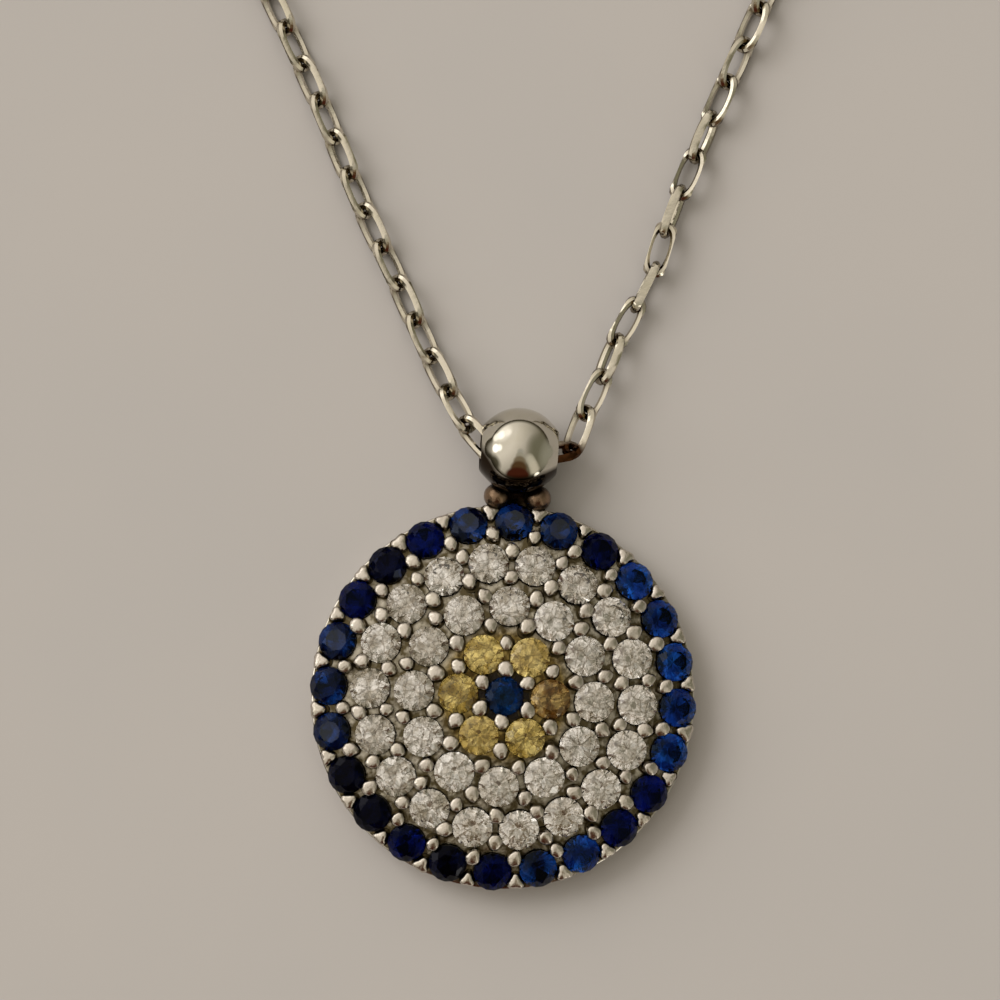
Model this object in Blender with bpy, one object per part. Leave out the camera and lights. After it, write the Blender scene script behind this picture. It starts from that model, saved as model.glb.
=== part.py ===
"""Evil eye pendant on a fine cable chain, lying face up on a flat surface.

Metres, +Z up. The origin is the centre of the disc's flat back, which rests on the surface at z = 0.
+Y runs from the disc to its bail and on along the necklace. The pendant itself is turned a little clockwise.
"""

import math

import bmesh
import bpy
from mathutils import Matrix, Vector
from mathutils.geometry import intersect_line_line

MM = 0.001

# The pendant's turn against the necklace's middle line
PENDANT_TURN = math.radians(-3.6)

# Round brilliant stones: heights and widths as shares of the diameter
STONE_DIAMETER = 1.20 * MM
TABLE_SHARE = 0.57
CROWN_SHARE = 0.150
GIRDLE_SHARE = 0.035
PAVILION_SHARE = 0.43
STAR_SHARE = 0.50
LOWER_FACET_SHARE = 0.77
STONE_SPIN = math.radians(137.5)

# Rings of stones, from the centre out. The gap runs between girdles along the ring, the first angle is
# measured from the bail, and the prong gap is the clear space between a bead prong and a girdle.
RING_COLUMNS = ("colour", "stones", "gap", "first_angle", "prong_gap")
RING_ROWS = (
    ("yellow", 6, 0.240 * MM, math.radians(30), 0.030 * MM),
    ("clear", 12, 0.255 * MM, math.radians(0), 0.060 * MM),
    ("clear", 18, 0.250 * MM, math.radians(10), 0.025 * MM),
    ("blue", 24, 0.225 * MM, math.radians(0), 0.000 * MM),
)
RINGS = [dict(zip(RING_COLUMNS, row)) for row in RING_ROWS]

# Domed disc
RIM_WIDTH = 0.44 * MM
EDGE_HEIGHT = 0.85 * MM
EDGE_BEVEL = 0.06 * MM
DOME_RADIUS = 20.0 * MM
DISC_SIDES = 44
DOME_BANDS = 3

# Seats and bead prongs
GIRDLE_LIFT = 0.10 * MM
SEAT_CLEARANCE = 0.03 * MM
SEAT_SIDES = 9
PRONG_RADIUS = 0.20 * MM
PRONG_HEIGHT = 0.36 * MM
PRONG_ROOT = 0.25 * MM
PRONG_SIDES = 6
PRONG_SHOULDER = 0.60
PRONG_TIP = 0.55

# Ball bail with its chain hole, and the neck that joins it to the disc
BALL_RADIUS = 1.35 * MM
HOLE_RADIUS = 0.65 * MM
BALL_GAP = 0.47 * MM
BALL_SIDES = 16
BALL_STEPS = 8
NECK_WIDTH = 1.86 * MM
NECK_HEIGHT = 0.90 * MM
NECK_SIDES = 14

# Sections of the neck from inside the disc's rim to inside the ball's wall: distance past the disc's edge, then
# shares of the neck's width, of the ball's radius for the middle's height, and of the neck's height
NECK_SECTIONS = (
    (-0.44 * MM, 1.16, 0.40, 0.80),
    (0.00 * MM, 1.16, 0.44, 0.84),
    (0.23 * MM, 1.00, 0.60, 0.90),
    (0.61 * MM, 0.96, 0.78, 1.00),
    (0.96 * MM, 0.90, 0.90, 1.00),
)

# Chain, as a tube of the links' outer size. The length is measured round the whole loop, with the clasp.
CHAIN_DIAMETER = 0.90 * MM
NECKLACE_LENGTH = 450.0 * MM
LEFT_LEAN = math.radians(25.5)
RIGHT_LEAN = math.radians(23.7)
STRAIGHT_POINTS = 3
ARC_POINTS = 8
TUBE_STEPS = 2
END_LIFT = 0.25 * MM
END_LIFT_RUN = 3.0 * MM

# Chosen points of each strand near the bail: across from the ball's centre towards that side, along the
# necklace, and height above the surface. From the last one on the strand runs straight.
LEFT_ROUTE = (
    (0.05 * MM, -0.10 * MM, 1.23 * MM),
    (0.70 * MM, -0.08 * MM, 1.23 * MM),
    (1.16 * MM, 0.00 * MM, 1.22 * MM),
    (1.54 * MM, 0.26 * MM, 1.16 * MM),
    (1.78 * MM, 0.90 * MM, 1.02 * MM),
    (2.16 * MM, 2.20 * MM, 0.72 * MM),
    (3.13 * MM, 4.30 * MM, 0.48 * MM),
    (4.18 * MM, 6.44 * MM, 0.45 * MM),
)
RIGHT_ROUTE = (
    (0.05 * MM, -0.12 * MM, 1.23 * MM),
    (0.70 * MM, -0.16 * MM, 1.23 * MM),
    (1.16 * MM, -0.16 * MM, 1.22 * MM),
    (1.58 * MM, 0.00 * MM, 1.16 * MM),
    (1.86 * MM, 0.56 * MM, 1.05 * MM),
    (2.12 * MM, 1.30 * MM, 0.90 * MM),
    (2.51 * MM, 2.30 * MM, 0.72 * MM),
    (3.50 * MM, 4.50 * MM, 0.48 * MM),
    (4.66 * MM, 7.00 * MM, 0.45 * MM),
)

# Ring clasp with its eyelet, and the tilted jump ring that it hooks into, at the far end of the loop
CLASP_RADIUS = 2.00 * MM
CLASP_WIRE = 0.90 * MM
CLASP_SIDES = 18
CLASP_WIRE_SIDES = 8
EYELET_RADIUS = 0.60 * MM
EYELET_WIRE = 0.40 * MM
EYELET_SIDES = 10
JUMP_RING_RADIUS = 1.40 * MM
JUMP_RING_WIRE = 0.45 * MM
JUMP_RING_TILT = math.radians(38)
JUMP_RING_SLACK = 0.60 * MM
JUMP_RING_SIDES = 12
FINE_WIRE_SIDES = 6
END_GAP = 0.10 * MM

# Edges flatter than this are shaded round
SMOOTH_ANGLE = math.radians(50)

STONE_RADIUS = STONE_DIAMETER / 2
BRILLIANT_FOLD = 8


def ring_radius(ring):
    """The ring's radius where its stones stand the stated gap apart."""
    return (STONE_DIAMETER + ring["gap"]) / (2 * math.sin(math.pi / ring["stones"]))


DISC_RADIUS = ring_radius(RINGS[-1]) + RIM_WIDTH
BALL_Y = DISC_RADIUS + BALL_GAP + BALL_RADIUS
EYELET_X = -(CLASP_RADIUS + CLASP_WIRE / 4 + EYELET_RADIUS)
JUMP_RING_X = (
    CLASP_RADIUS - CLASP_WIRE / 2 + JUMP_RING_RADIUS - JUMP_RING_WIRE / 2 - JUMP_RING_SLACK
)


def dome_height(radius):
    """Height of the disc's domed face at this distance from its centre."""
    edge = math.sqrt(DOME_RADIUS**2 - DISC_RADIUS**2)
    return EDGE_HEIGHT + math.sqrt(DOME_RADIUS**2 - radius**2) - edge


def on_dome(radius, angle, lift=0.0, spin=0.0):
    """Placement square to the dome, at an angle from the bail, lifted along the dome's normal."""
    tilt = math.asin(radius / DOME_RADIUS)
    place = Vector((radius * math.sin(angle), radius * math.cos(angle), dome_height(radius)))
    turn = Matrix.Rotation(-angle, 4, "Z") @ Matrix.Rotation(-tilt, 4, "X")
    return Matrix.Translation(place) @ turn @ Matrix.Translation((0, 0, lift)) @ Matrix.Rotation(spin, 4, "Z")


def clear_scene():
    for obj in list(bpy.data.objects):
        bpy.data.objects.remove(obj, do_unlink=True)


def material(name, colour, metallic, roughness, ior=1.5):
    made = bpy.data.materials.new(name)
    made.use_nodes = True
    shader = made.node_tree.nodes["Principled BSDF"]
    shader.inputs["Base Color"].default_value = (*colour, 1)
    shader.inputs["Metallic"].default_value = metallic
    shader.inputs["Roughness"].default_value = roughness
    shader.inputs["IOR"].default_value = ior
    made.diffuse_color = (*colour, 1)
    return made


def mesh_of(name, bm, made, rounded=True):
    """Turns a bmesh into a mesh of one material, facing out. A cut stone's isn't rounded: its facets stay flat."""
    bmesh.ops.recalc_face_normals(bm, faces=bm.faces)
    mesh = bpy.data.meshes.new(name)
    bm.to_mesh(mesh)
    bm.free()
    mesh.materials.append(made)
    if rounded:
        mesh.shade_smooth()
        mesh.set_sharp_from_angle(angle=SMOOTH_ANGLE)
    return mesh


def place(name, mesh, parent=None, matrix=None):
    obj = bpy.data.objects.new(name, mesh)
    bpy.context.scene.collection.objects.link(obj)
    obj.parent = parent
    if matrix is not None:
        obj.matrix_local = matrix
    return obj


def helper(mesh, parent=None):
    """A cutter or a joined part, which is no piece by itself."""
    obj = place(mesh.name, mesh, parent)
    obj.hide_render = True
    obj.display_type = "WIRE"
    return obj


def boolean(obj, other, operation):
    modifier = obj.modifiers.new(other.name, "BOOLEAN")
    modifier.operation = operation
    modifier.object = other
    modifier.solver = "EXACT"
    modifier.material_mode = "TRANSFER"


def ring_of(bm, sides, radius, height, matrix, first=0.0):
    """A level ring of vertices round the matrix's own Z axis."""
    angles = [first + 2 * math.pi * k / sides for k in range(sides)]
    points = [Vector((radius * math.cos(a), radius * math.sin(a), height)) for a in angles]
    return [bm.verts.new(matrix @ point) for point in points]


def skin(bm, low, high):
    """Quads from one ring of vertices to the next."""
    count = len(low)
    for k in range(count):
        bm.faces.new((low[k], low[(k + 1) % count], high[(k + 1) % count], high[k]))


def fan(bm, ring, point):
    tip = bm.verts.new(point)
    for k, vertex in enumerate(ring):
        bm.faces.new((vertex, ring[(k + 1) % len(ring)], tip))


def turned(bm, sides, profile, matrix):
    """A closed turned solid: the profile is (radius, height) pairs, and its ends are closed flat or to a tip."""
    rings = [ring_of(bm, sides, radius, height, matrix) for radius, height in profile if radius > 0]
    for low, high in zip(rings, rings[1:]):
        skin(bm, low, high)
    ends = ((profile[0], rings[0]), (profile[-1], rings[-1]))
    for (radius, height), ring in ends:
        if radius > 0:
            bm.faces.new(ring)
        else:
            fan(bm, ring, matrix @ Vector((0, 0, height)))


def brilliant(bm, matrix, sunk=0.0):
    """One round brilliant with its girdle's lower edge at the matrix's origin.

    Table, eight stars, eight kites and sixteen upper girdle facets above the girdle. Below it sixteen lower
    girdle facets and eight mains run to the point, unless the stone is sunk: then its girdle runs straight
    down that far, for a stone that is fused to its setting.
    """
    count = BRILLIANT_FOLD
    half = math.pi / count
    table = TABLE_SHARE * STONE_RADIUS
    crown = CROWN_SHARE * STONE_DIAMETER
    girdle = GIRDLE_SHARE * STONE_DIAMETER
    depth = PAVILION_SHARE * STONE_DIAMETER
    edge = table * math.cos(half)
    star = edge + STAR_SHARE * (STONE_RADIUS - edge)
    fall = (star * math.cos(half) - table) / (STONE_RADIUS - table)
    table_ring = ring_of(bm, count, table, girdle + crown, matrix)
    star_ring = ring_of(bm, count, star, girdle + crown * (1 - fall), matrix, half)
    upper = ring_of(bm, 2 * count, STONE_RADIUS, girdle, matrix)
    lower = ring_of(bm, 2 * count, STONE_RADIUS, -sunk, matrix)
    bm.faces.new(table_ring)
    skin(bm, lower, upper)
    for k in range(count):
        after = (k + 1) % count
        corner, between, following = upper[2 * k], upper[2 * k + 1], upper[2 * after]
        bm.faces.new((table_ring[k], table_ring[after], star_ring[k]))
        bm.faces.new((table_ring[k], star_ring[k], corner, star_ring[k - 1]))
        bm.faces.new((star_ring[k], corner, between))
        bm.faces.new((star_ring[k], between, following))
    if sunk:
        bm.faces.new(lower)
        return
    inner = (1 - LOWER_FACET_SHARE) * STONE_RADIUS
    rise = inner * math.cos(half) / STONE_RADIUS
    inner_ring = ring_of(bm, count, inner, -depth * (1 - rise), matrix, half)
    tip = bm.verts.new(matrix @ Vector((0, 0, -depth)))
    for k in range(count):
        after = (k + 1) % count
        corner, between, following = lower[2 * k], lower[2 * k + 1], lower[2 * after]
        bm.faces.new((inner_ring[k], between, corner))
        bm.faces.new((inner_ring[k], following, between))
        bm.faces.new((tip, inner_ring[k - 1], corner, inner_ring[k]))


def stone_places(colour):
    """Where the stones of one colour sit, ring by ring."""
    places = []
    for ring in RINGS:
        if ring["colour"] == colour:
            for k in range(ring["stones"]):
                angle = ring["first_angle"] + 2 * math.pi * k / ring["stones"]
                places.append(on_dome(ring_radius(ring), angle, GIRDLE_LIFT, STONE_SPIN * k))
    return places


def prong_places():
    """One bead prong on each side of every gap between two neighbours of a ring."""
    places = []
    for ring in RINGS:
        half = math.pi / ring["stones"]
        reach = STONE_RADIUS + PRONG_RADIUS + ring["prong_gap"]
        across = ring_radius(ring) * math.sin(half)
        offset = math.sqrt(reach**2 - across**2)
        for side in (-offset, offset):
            radius = ring_radius(ring) * math.cos(half) + side
            for k in range(ring["stones"]):
                angle = ring["first_angle"] + half * (2 * k + 1)
                places.append(on_dome(radius, angle))
    return places


def disc():
    """The domed disc, turned, with a flat back and a small bevel at its lower edge."""
    profile = [(DISC_RADIUS - EDGE_BEVEL, 0.0), (DISC_RADIUS, EDGE_BEVEL), (DISC_RADIUS, EDGE_HEIGHT)]
    for k in range(1, DOME_BANDS):
        radius = DISC_RADIUS * (1 - k / DOME_BANDS)
        profile.append((radius, dome_height(radius)))
    profile.append((0.0, dome_height(0.0)))
    bm = bmesh.new()
    turned(bm, DISC_SIDES, profile, Matrix.Identity(4))
    return bm


def prongs():
    profile = (
        (PRONG_RADIUS, -PRONG_ROOT),
        (PRONG_RADIUS, PRONG_SHOULDER * PRONG_HEIGHT),
        (PRONG_TIP * PRONG_RADIUS, PRONG_HEIGHT),
    )
    bm = bmesh.new()
    for matrix in prong_places():
        turned(bm, PRONG_SIDES, profile, matrix)
    return bm


def clear_stones():
    bm = bmesh.new()
    for matrix in stone_places("clear"):
        brilliant(bm, matrix, sunk=2 * GIRDLE_LIFT)
    return bm


def seats():
    """The space of each loose stone with its clearance, to be cut from the metal."""
    girdle = GIRDLE_SHARE * STONE_DIAMETER
    wide = (STONE_RADIUS + SEAT_CLEARANCE) / math.cos(math.pi / SEAT_SIDES)
    top = girdle + CROWN_SHARE * STONE_DIAMETER + SEAT_CLEARANCE
    profile = (
        (0.0, -PAVILION_SHARE * STONE_DIAMETER - SEAT_CLEARANCE),
        (wide, -SEAT_CLEARANCE),
        (wide, girdle + SEAT_CLEARANCE),
        (TABLE_SHARE * STONE_RADIUS + SEAT_CLEARANCE, top),
    )
    bm = bmesh.new()
    centre = [on_dome(0.0, 0.0, GIRDLE_LIFT)]
    for matrix in centre + stone_places("yellow") + stone_places("blue"):
        turned(bm, SEAT_SIDES, profile, matrix)
    return bm


def ball():
    """The drilled ball, turned about the chain hole's axis, which runs across the pendant."""
    matrix = Matrix.Translation((0, BALL_Y, BALL_RADIUS)) @ Matrix.Rotation(math.pi / 2, 4, "Y")
    start = math.asin(HOLE_RADIUS / BALL_RADIUS)
    bm = bmesh.new()
    rings = []
    for k in range(BALL_STEPS + 1):
        angle = start + (math.pi - 2 * start) * k / BALL_STEPS
        radius, height = BALL_RADIUS * math.sin(angle), BALL_RADIUS * math.cos(angle)
        rings.append(ring_of(bm, BALL_SIDES, radius, height, matrix))
    for low, high in zip(rings, rings[1:] + rings[:1]):
        skin(bm, low, high)
    return bm


def neck():
    """The saddle between ball and disc: oval sections along Y, wider and lower at the disc."""
    bm = bmesh.new()
    rings = []
    for past_edge, width, level, height in NECK_SECTIONS:
        ring = []
        for k in range(NECK_SIDES):
            angle = 2 * math.pi * k / NECK_SIDES
            x = width * NECK_WIDTH / 2 * math.cos(angle)
            z = level * BALL_RADIUS + height * NECK_HEIGHT / 2 * math.sin(angle)
            ring.append(bm.verts.new((x, DISC_RADIUS + past_edge, z)))
        rings.append(ring)
    for low, high in zip(rings, rings[1:]):
        skin(bm, low, high)
    bm.faces.new(rings[0])
    bm.faces.new(rings[-1])
    return bm


def build_setting(parent, silver, crystal):
    """Disc, prongs, neck and ball as one soldered solid, with the clear stones fused in and seats cut out."""
    setting = place("pave_setting", mesh_of("pave_setting", disc(), silver), parent)
    boolean(setting, helper(mesh_of("neck", neck(), silver), parent), "UNION")
    boolean(setting, helper(mesh_of("ball", ball(), silver), parent), "UNION")
    boolean(setting, helper(mesh_of("prongs", prongs(), silver), parent), "UNION")
    stones = mesh_of("clear_stones", clear_stones(), crystal, rounded=False)
    boolean(setting, helper(stones, parent), "UNION")
    boolean(setting, helper(mesh_of("seats", seats(), silver), parent), "DIFFERENCE")
    return setting


def build_stones(parent, sapphire, citrine):
    bm = bmesh.new()
    brilliant(bm, Matrix.Identity(4))
    blue = mesh_of("blue_brilliant", bm, sapphire, rounded=False)
    yellow = blue.copy()
    yellow.materials[0] = citrine
    place("stone_centre", blue, parent, on_dome(0.0, 0.0, GIRDLE_LIFT))
    for number, matrix in enumerate(stone_places("yellow"), 1):
        place(f"stone_yellow_{number}", yellow, parent, matrix)
    for number, matrix in enumerate(stone_places("blue"), 1):
        place(f"stone_blue_{number:02d}", blue, parent, matrix)


def smooth(points, steps):
    """Points of a curve through the given ones, which may lie at uneven distances, in steps between each two."""
    spans = [(end - start).length for start, end in zip(points, points[1:])]
    slopes = [(points[1] - points[0]) / spans[0]]
    for k in range(1, len(spans)):
        before = (points[k] - points[k - 1]) / spans[k - 1]
        after = (points[k + 1] - points[k]) / spans[k]
        slopes.append((before * spans[k] + after * spans[k - 1]) / (spans[k - 1] + spans[k]))
    slopes.append((points[-1] - points[-2]) / spans[-1])
    found = []
    for k, span in enumerate(spans):
        for step in range(steps):
            t = step / steps
            found.append(
                points[k]
                + (points[k + 1] - points[k]) * (3 * t**2 - 2 * t**3)
                + slopes[k] * span * (t**3 - 2 * t**2 + t)
                + slopes[k + 1] * span * (t**3 - t**2)
            )
    return [*found, points[-1]]


def heading(side, lean):
    return Vector((side * math.sin(lean), math.cos(lean), 0))


def loop_shape(ball_centre):
    """The meeting point of the strands' straight lines, half their angle, and the round end that they run into."""
    lines = []
    for side, lean, route in ((-1, LEFT_LEAN, LEFT_ROUTE), (1, RIGHT_LEAN, RIGHT_ROUTE)):
        across, along, _ = route[-1]
        point = Vector((ball_centre.x + side * across, ball_centre.y + along, 0))
        lines += [point, point + heading(side, lean)]
    apex = intersect_line_line(*lines)[0]
    half = (LEFT_LEAN + RIGHT_LEAN) / 2
    radius = NECKLACE_LENGTH / (2 / math.tan(half) + math.pi + 2 * half)
    middle = (heading(-1, LEFT_LEAN) + heading(1, RIGHT_LEAN)).normalized()
    return apex, half, radius, apex + middle * radius / math.sin(half), middle


def strand(side, lean, route, ball_centre, end_distance):
    """The points of one half of the chain, from inside the ball to its far end.

    The end lies end_distance short of the loop's top, measured across, and is lifted to the clasp.
    """
    apex, half, radius, centre, _ = loop_shape(ball_centre)
    floor = CHAIN_DIAMETER / 2
    points = [
        Vector((ball_centre.x + side * across, ball_centre.y + along, height)) for across, along, height in route
    ]
    tangent = apex + heading(side, lean) * radius / math.tan(half)
    tangent.z = floor
    start = points[-1]
    points += [start.lerp(tangent, k / STRAIGHT_POINTS) for k in range(1, STRAIGHT_POINTS + 1)]
    centre = Vector((centre.x, centre.y, floor))
    sweep = math.pi / 2 + half - math.asin(end_distance / radius)
    turns = [sweep * k / ARC_POINTS for k in range(1, ARC_POINTS)] + [sweep - END_LIFT_RUN / radius, sweep]
    points += [centre + Matrix.Rotation(side * turn, 3, "Z") @ (tangent - centre) for turn in turns]
    points[-1].z += END_LIFT
    found = smooth(points, TUBE_STEPS)
    for point in found:
        point.z = max(point.z, floor)
    return found


def torus(bm, radius, wire, sides, wire_sides, matrix):
    """A closed round ring of round wire about the matrix's Z axis."""
    rings = []
    for k in range(sides):
        turn = Matrix.Rotation(2 * math.pi * k / sides, 4, "Z")
        upright = Matrix.Translation((radius, 0, 0)) @ Matrix.Rotation(math.pi / 2, 4, "X")
        rings.append(ring_of(bm, wire_sides, wire / 2, 0, matrix @ turn @ upright))
    for low, high in zip(rings, rings[1:] + rings[:1]):
        skin(bm, low, high)


def build_clasp(silver, top):
    """The ring clasp and its jump ring; top is the placement of the loop's top, with X along the chain."""
    level = JUMP_RING_RADIUS * math.sin(JUMP_RING_TILT) + JUMP_RING_WIRE / 2
    clasp_place = top @ Matrix.Translation((0, 0, level))
    bm = bmesh.new()
    torus(bm, CLASP_RADIUS, CLASP_WIRE, CLASP_SIDES, CLASP_WIRE_SIDES, clasp_place)
    clasp = place("clasp", mesh_of("clasp", bm, silver))
    bm = bmesh.new()
    eyelet_place = clasp_place @ Matrix.Translation((EYELET_X, 0, 0))
    torus(bm, EYELET_RADIUS, EYELET_WIRE, EYELET_SIDES, FINE_WIRE_SIDES, eyelet_place)
    boolean(clasp, helper(mesh_of("eyelet", bm, silver)), "UNION")
    bm = bmesh.new()
    tilted = Matrix.Translation((JUMP_RING_X, 0, level)) @ Matrix.Rotation(JUMP_RING_TILT, 4, "X")
    torus(bm, JUMP_RING_RADIUS, JUMP_RING_WIRE, JUMP_RING_SIDES, FINE_WIRE_SIDES, top @ tilted)
    place("jump_ring", mesh_of("jump_ring", bm, silver))


def build_chain(silver, ball_centre):
    left_end = EYELET_RADIUS + EYELET_WIRE / 2 + END_GAP - EYELET_X
    right_end = JUMP_RING_X + JUMP_RING_RADIUS + JUMP_RING_WIRE / 2 + END_GAP
    tube("chain_left", strand(-1, LEFT_LEAN, LEFT_ROUTE, ball_centre, left_end), silver)
    tube("chain_right", strand(1, RIGHT_LEAN, RIGHT_ROUTE, ball_centre, right_end), silver)


def tube(name, points, silver):
    curve = bpy.data.curves.new(name, "CURVE")
    curve.dimensions = "3D"
    curve.bevel_depth = CHAIN_DIAMETER / 2
    curve.bevel_resolution = 2
    curve.use_fill_caps = True
    curve.materials.append(silver)
    spline = curve.splines.new("POLY")
    spline.points.add(len(points) - 1)
    for point, where in zip(spline.points, points):
        point.co = (*where, 1)
    return place(name, curve)


def main():
    clear_scene()
    silver = material("silver", (0.80, 0.79, 0.76), 1.0, 0.18)
    crystal = material("clear_stone", (0.90, 0.90, 0.88), 0.0, 0.05, 2.15)
    sapphire = material("blue_stone", (0.01, 0.03, 0.22), 0.0, 0.06, 1.76)
    citrine = material("yellow_stone", (0.80, 0.56, 0.10), 0.0, 0.08, 2.1)
    turned_pendant = Matrix.Rotation(PENDANT_TURN, 4, "Z")
    pendant = place("pendant", None, None, turned_pendant)
    build_setting(pendant, silver, crystal)
    build_stones(pendant, sapphire, citrine)
    ball_centre = turned_pendant @ Vector((0, BALL_Y, BALL_RADIUS))
    build_chain(silver, ball_centre)
    _, _, radius, centre, middle = loop_shape(ball_centre)
    turn = Matrix.Rotation(math.atan2(-middle.x, middle.y), 4, "Z")
    build_clasp(silver, Matrix.Translation(centre + middle * radius) @ turn)


main()
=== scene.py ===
"""Looks of the evil eye pendant necklace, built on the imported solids.

Metres, +Z up, in the part's own frame. The disc lies flat with its back at z = 0 and its bail towards +Y,
and the chain runs on from the bail over the same surface.
"""

import math

import bmesh
import bpy
from mathutils import Matrix, Vector, noise


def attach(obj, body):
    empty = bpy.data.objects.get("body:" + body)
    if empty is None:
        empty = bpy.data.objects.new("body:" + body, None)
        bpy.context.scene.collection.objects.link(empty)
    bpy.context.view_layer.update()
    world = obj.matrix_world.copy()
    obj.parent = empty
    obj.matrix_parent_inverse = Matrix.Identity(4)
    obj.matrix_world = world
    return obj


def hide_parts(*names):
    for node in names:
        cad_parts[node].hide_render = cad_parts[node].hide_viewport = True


MM = 0.001
UP = Vector((0, 0, 1))
# The small unevenness of hand work comes out the same on each run
noise.seed_set(5)

# Sizes that the part's source has too
PENDANT_TURN = math.radians(-3.6)
STONE_DIAMETER = 1.20 * MM
STONE_RADIUS = STONE_DIAMETER / 2
TABLE_SHARE = 0.57
CROWN_SHARE = 0.15
GIRDLE_SHARE = 0.035
PAVILION_SHARE = 0.43
STAR_SHARE = 0.50
LOWER_FACET_SHARE = 0.77
BRILLIANT_FOLD = 8
STONE_SPIN = math.radians(137.5)
RING_COLUMNS = ("colour", "stones", "gap", "first_angle", "prong_gap")
RING_ROWS = (
    ("yellow", 6, 0.24 * MM, math.radians(30), 0.03 * MM),
    ("clear", 12, 0.255 * MM, math.radians(0), 0.06 * MM),
    ("clear", 18, 0.25 * MM, math.radians(10), 0.025 * MM),
    ("blue", 24, 0.225 * MM, math.radians(0), 0.00 * MM),
)
RINGS = [dict(zip(RING_COLUMNS, row)) for row in RING_ROWS]
RIM_WIDTH = 0.44 * MM
EDGE_HEIGHT = 0.85 * MM
DOME_RADIUS = 20.0 * MM
GIRDLE_LIFT = 0.10 * MM
PRONG_RADIUS = 0.20 * MM
PRONG_HEIGHT = 0.36 * MM
PRONG_ROOT = 0.25 * MM
BALL_RADIUS = 1.35 * MM
HOLE_RADIUS = 0.65 * MM
BALL_GAP = 0.47 * MM
NECKLACE_LENGTH = 450.0 * MM
LEFT_LEAN = math.radians(25.5)
RIGHT_LEAN = math.radians(23.7)
CHAIN_HEIGHT = 0.45 * MM
CLASP_RADIUS = 2.00 * MM
CLASP_WIRE = 0.90 * MM
EYELET_RADIUS = 0.60 * MM
EYELET_WIRE = 0.40 * MM
JUMP_RING_RADIUS = 1.40 * MM
JUMP_RING_WIRE = 0.45 * MM
JUMP_RING_TILT = math.radians(38)
JUMP_RING_SLACK = 0.60 * MM

# The disc: how far its rim stands out past the source's, and its foot stands in and is rounded, and the
# radius and height of its seats' walls
RIM_OUT = 0.11 * MM
FOOT_IN = 0.06 * MM
FOOT_ROUNDING = 0.10 * MM
SEAT_RADIUS = 0.615 * MM
SEAT_PROFILE = (
    (0.0, -0.62 * MM),
    (0.45 * MM, -0.40 * MM),
    (SEAT_RADIUS - 0.01 * MM, -0.16 * MM),
    (SEAT_RADIUS, 0.40 * MM),
)
# Faces that point up or down less than this belong to the disc's wall
WALL_STEEPNESS = 0.8
DISC_SIDES = 192
DOME_STEPS = 24
SEAT_SIDES = 32

# Bead prongs: how much wider they are than the source's, the height of those along the rim, their cap's
# height in radii, the width and height of the ring of painted shade round their foot, and where their
# sides end
PRONG_SWELL = 1.13
RIM_PRONG_HEIGHT = 0.30 * MM
PRONG_CAP = 0.55
FOOT_SWELL = 1.17
FOOT_LEVEL = 0.035 * MM
SIDE_LEVEL = 0.10 * MM
# How squarish a bead's cap is, across and upward
CAP_POWERS = (0.90, 0.85)
PRONG_SIDES = 24
PRONG_STEPS = 8
# How far a bead's tail reaches past its outline, and how pointed it is
TAIL_REACH = 0.28
TAIL_POWER = 6
# A rim bead's mean outline, and how far its three corners stand out of it
CORNER_REACH = 1.02
CORNER_DEPTH = 0.20
# How much the beads differ in width, height, lean and turn, and how uneven their outlines are
WIDTH_DRIFT = 0.22
HEIGHT_DRIFT = 0.20
LEAN_DRIFT = 0.35
TURN_DRIFT = {"inner": 1.6, "outer": 1.6, "rim": 0.5}
OUTLINE_DRIFT = 0.10

# The ball: the radius where its mouths' rounding begins, how far out their lips stand, and how far the
# rounding runs straight on
BALL_SHOULDER = 1.00 * MM
BALL_MOUTH = 1.205 * MM
MOUTH_ROUNDING = 0.36 * MM
BALL_SIDES = 96
BALL_STEPS = 72
MOUTH_STEPS = 10

# The neck's knuckles, and its web by place past the disc's edge, middle, width, level and height in mm
NECK_SHIFT = 0.06 * MM
KNUCKLE_SPREAD = 0.64 * MM
KNUCKLE_RISE = 0.38 * MM
KNUCKLE_LEVEL = 0.92 * MM
KNUCKLE_RADII = (0.42 * MM, 0.41 * MM, 0.52 * MM)
KNUCKLE_SIDES = 32
KNUCKLE_STEPS = 20
NECK_WEB = (
    (-0.40, 0.05, 1.55, 0.42, 0.56),
    (0.10, 0.05, 1.50, 0.42, 0.56),
    (0.80, 0.05, 1.20, 0.64, 0.60),
)
WEB_SIDES = 32
WEB_STEPS = 24
WEB_SQUARENESS = 0.85

# Where the part's two strands come down to their straight lines, from the ball's centre
LEFT_ANCHOR = Vector((-4.18 * MM, 6.44 * MM, 0))
RIGHT_ANCHOR = Vector((4.66 * MM, 7.00 * MM, 0))
# The strands' chosen points in mm: across from the ball's centre to that side, along the necklace, and up
LEFT_ROUTE = (
    (0.05, -0.10, 1.23),
    (0.70, -0.08, 1.23),
    (1.16, 0.02, 1.22),
    (1.62, 0.82, 0.98),
    (2.13, 1.80, 0.68),
    (2.68, 2.92, 0.52),
    (3.70, 5.24, 0.45),
    (4.77, 7.52, 0.45),
    (6.25, 11.09, 0.45),
    (7.30, 13.43, 0.45),
)
RIGHT_ROUTE = (
    (0.05, -0.12, 1.23),
    (0.70, -0.16, 1.23),
    (1.16, -0.14, 1.22),
    (1.60, -0.02, 1.14),
    (2.10, 1.18, 0.95),
    (2.67, 2.36, 0.80),
    (3.09, 3.46, 0.56),
    (3.73, 4.61, 0.50),
    (4.30, 5.76, 0.49),
    (4.69, 7.03, 0.48),
    (5.69, 9.50, 0.45),
    (7.66, 14.00, 0.45),
)

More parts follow.
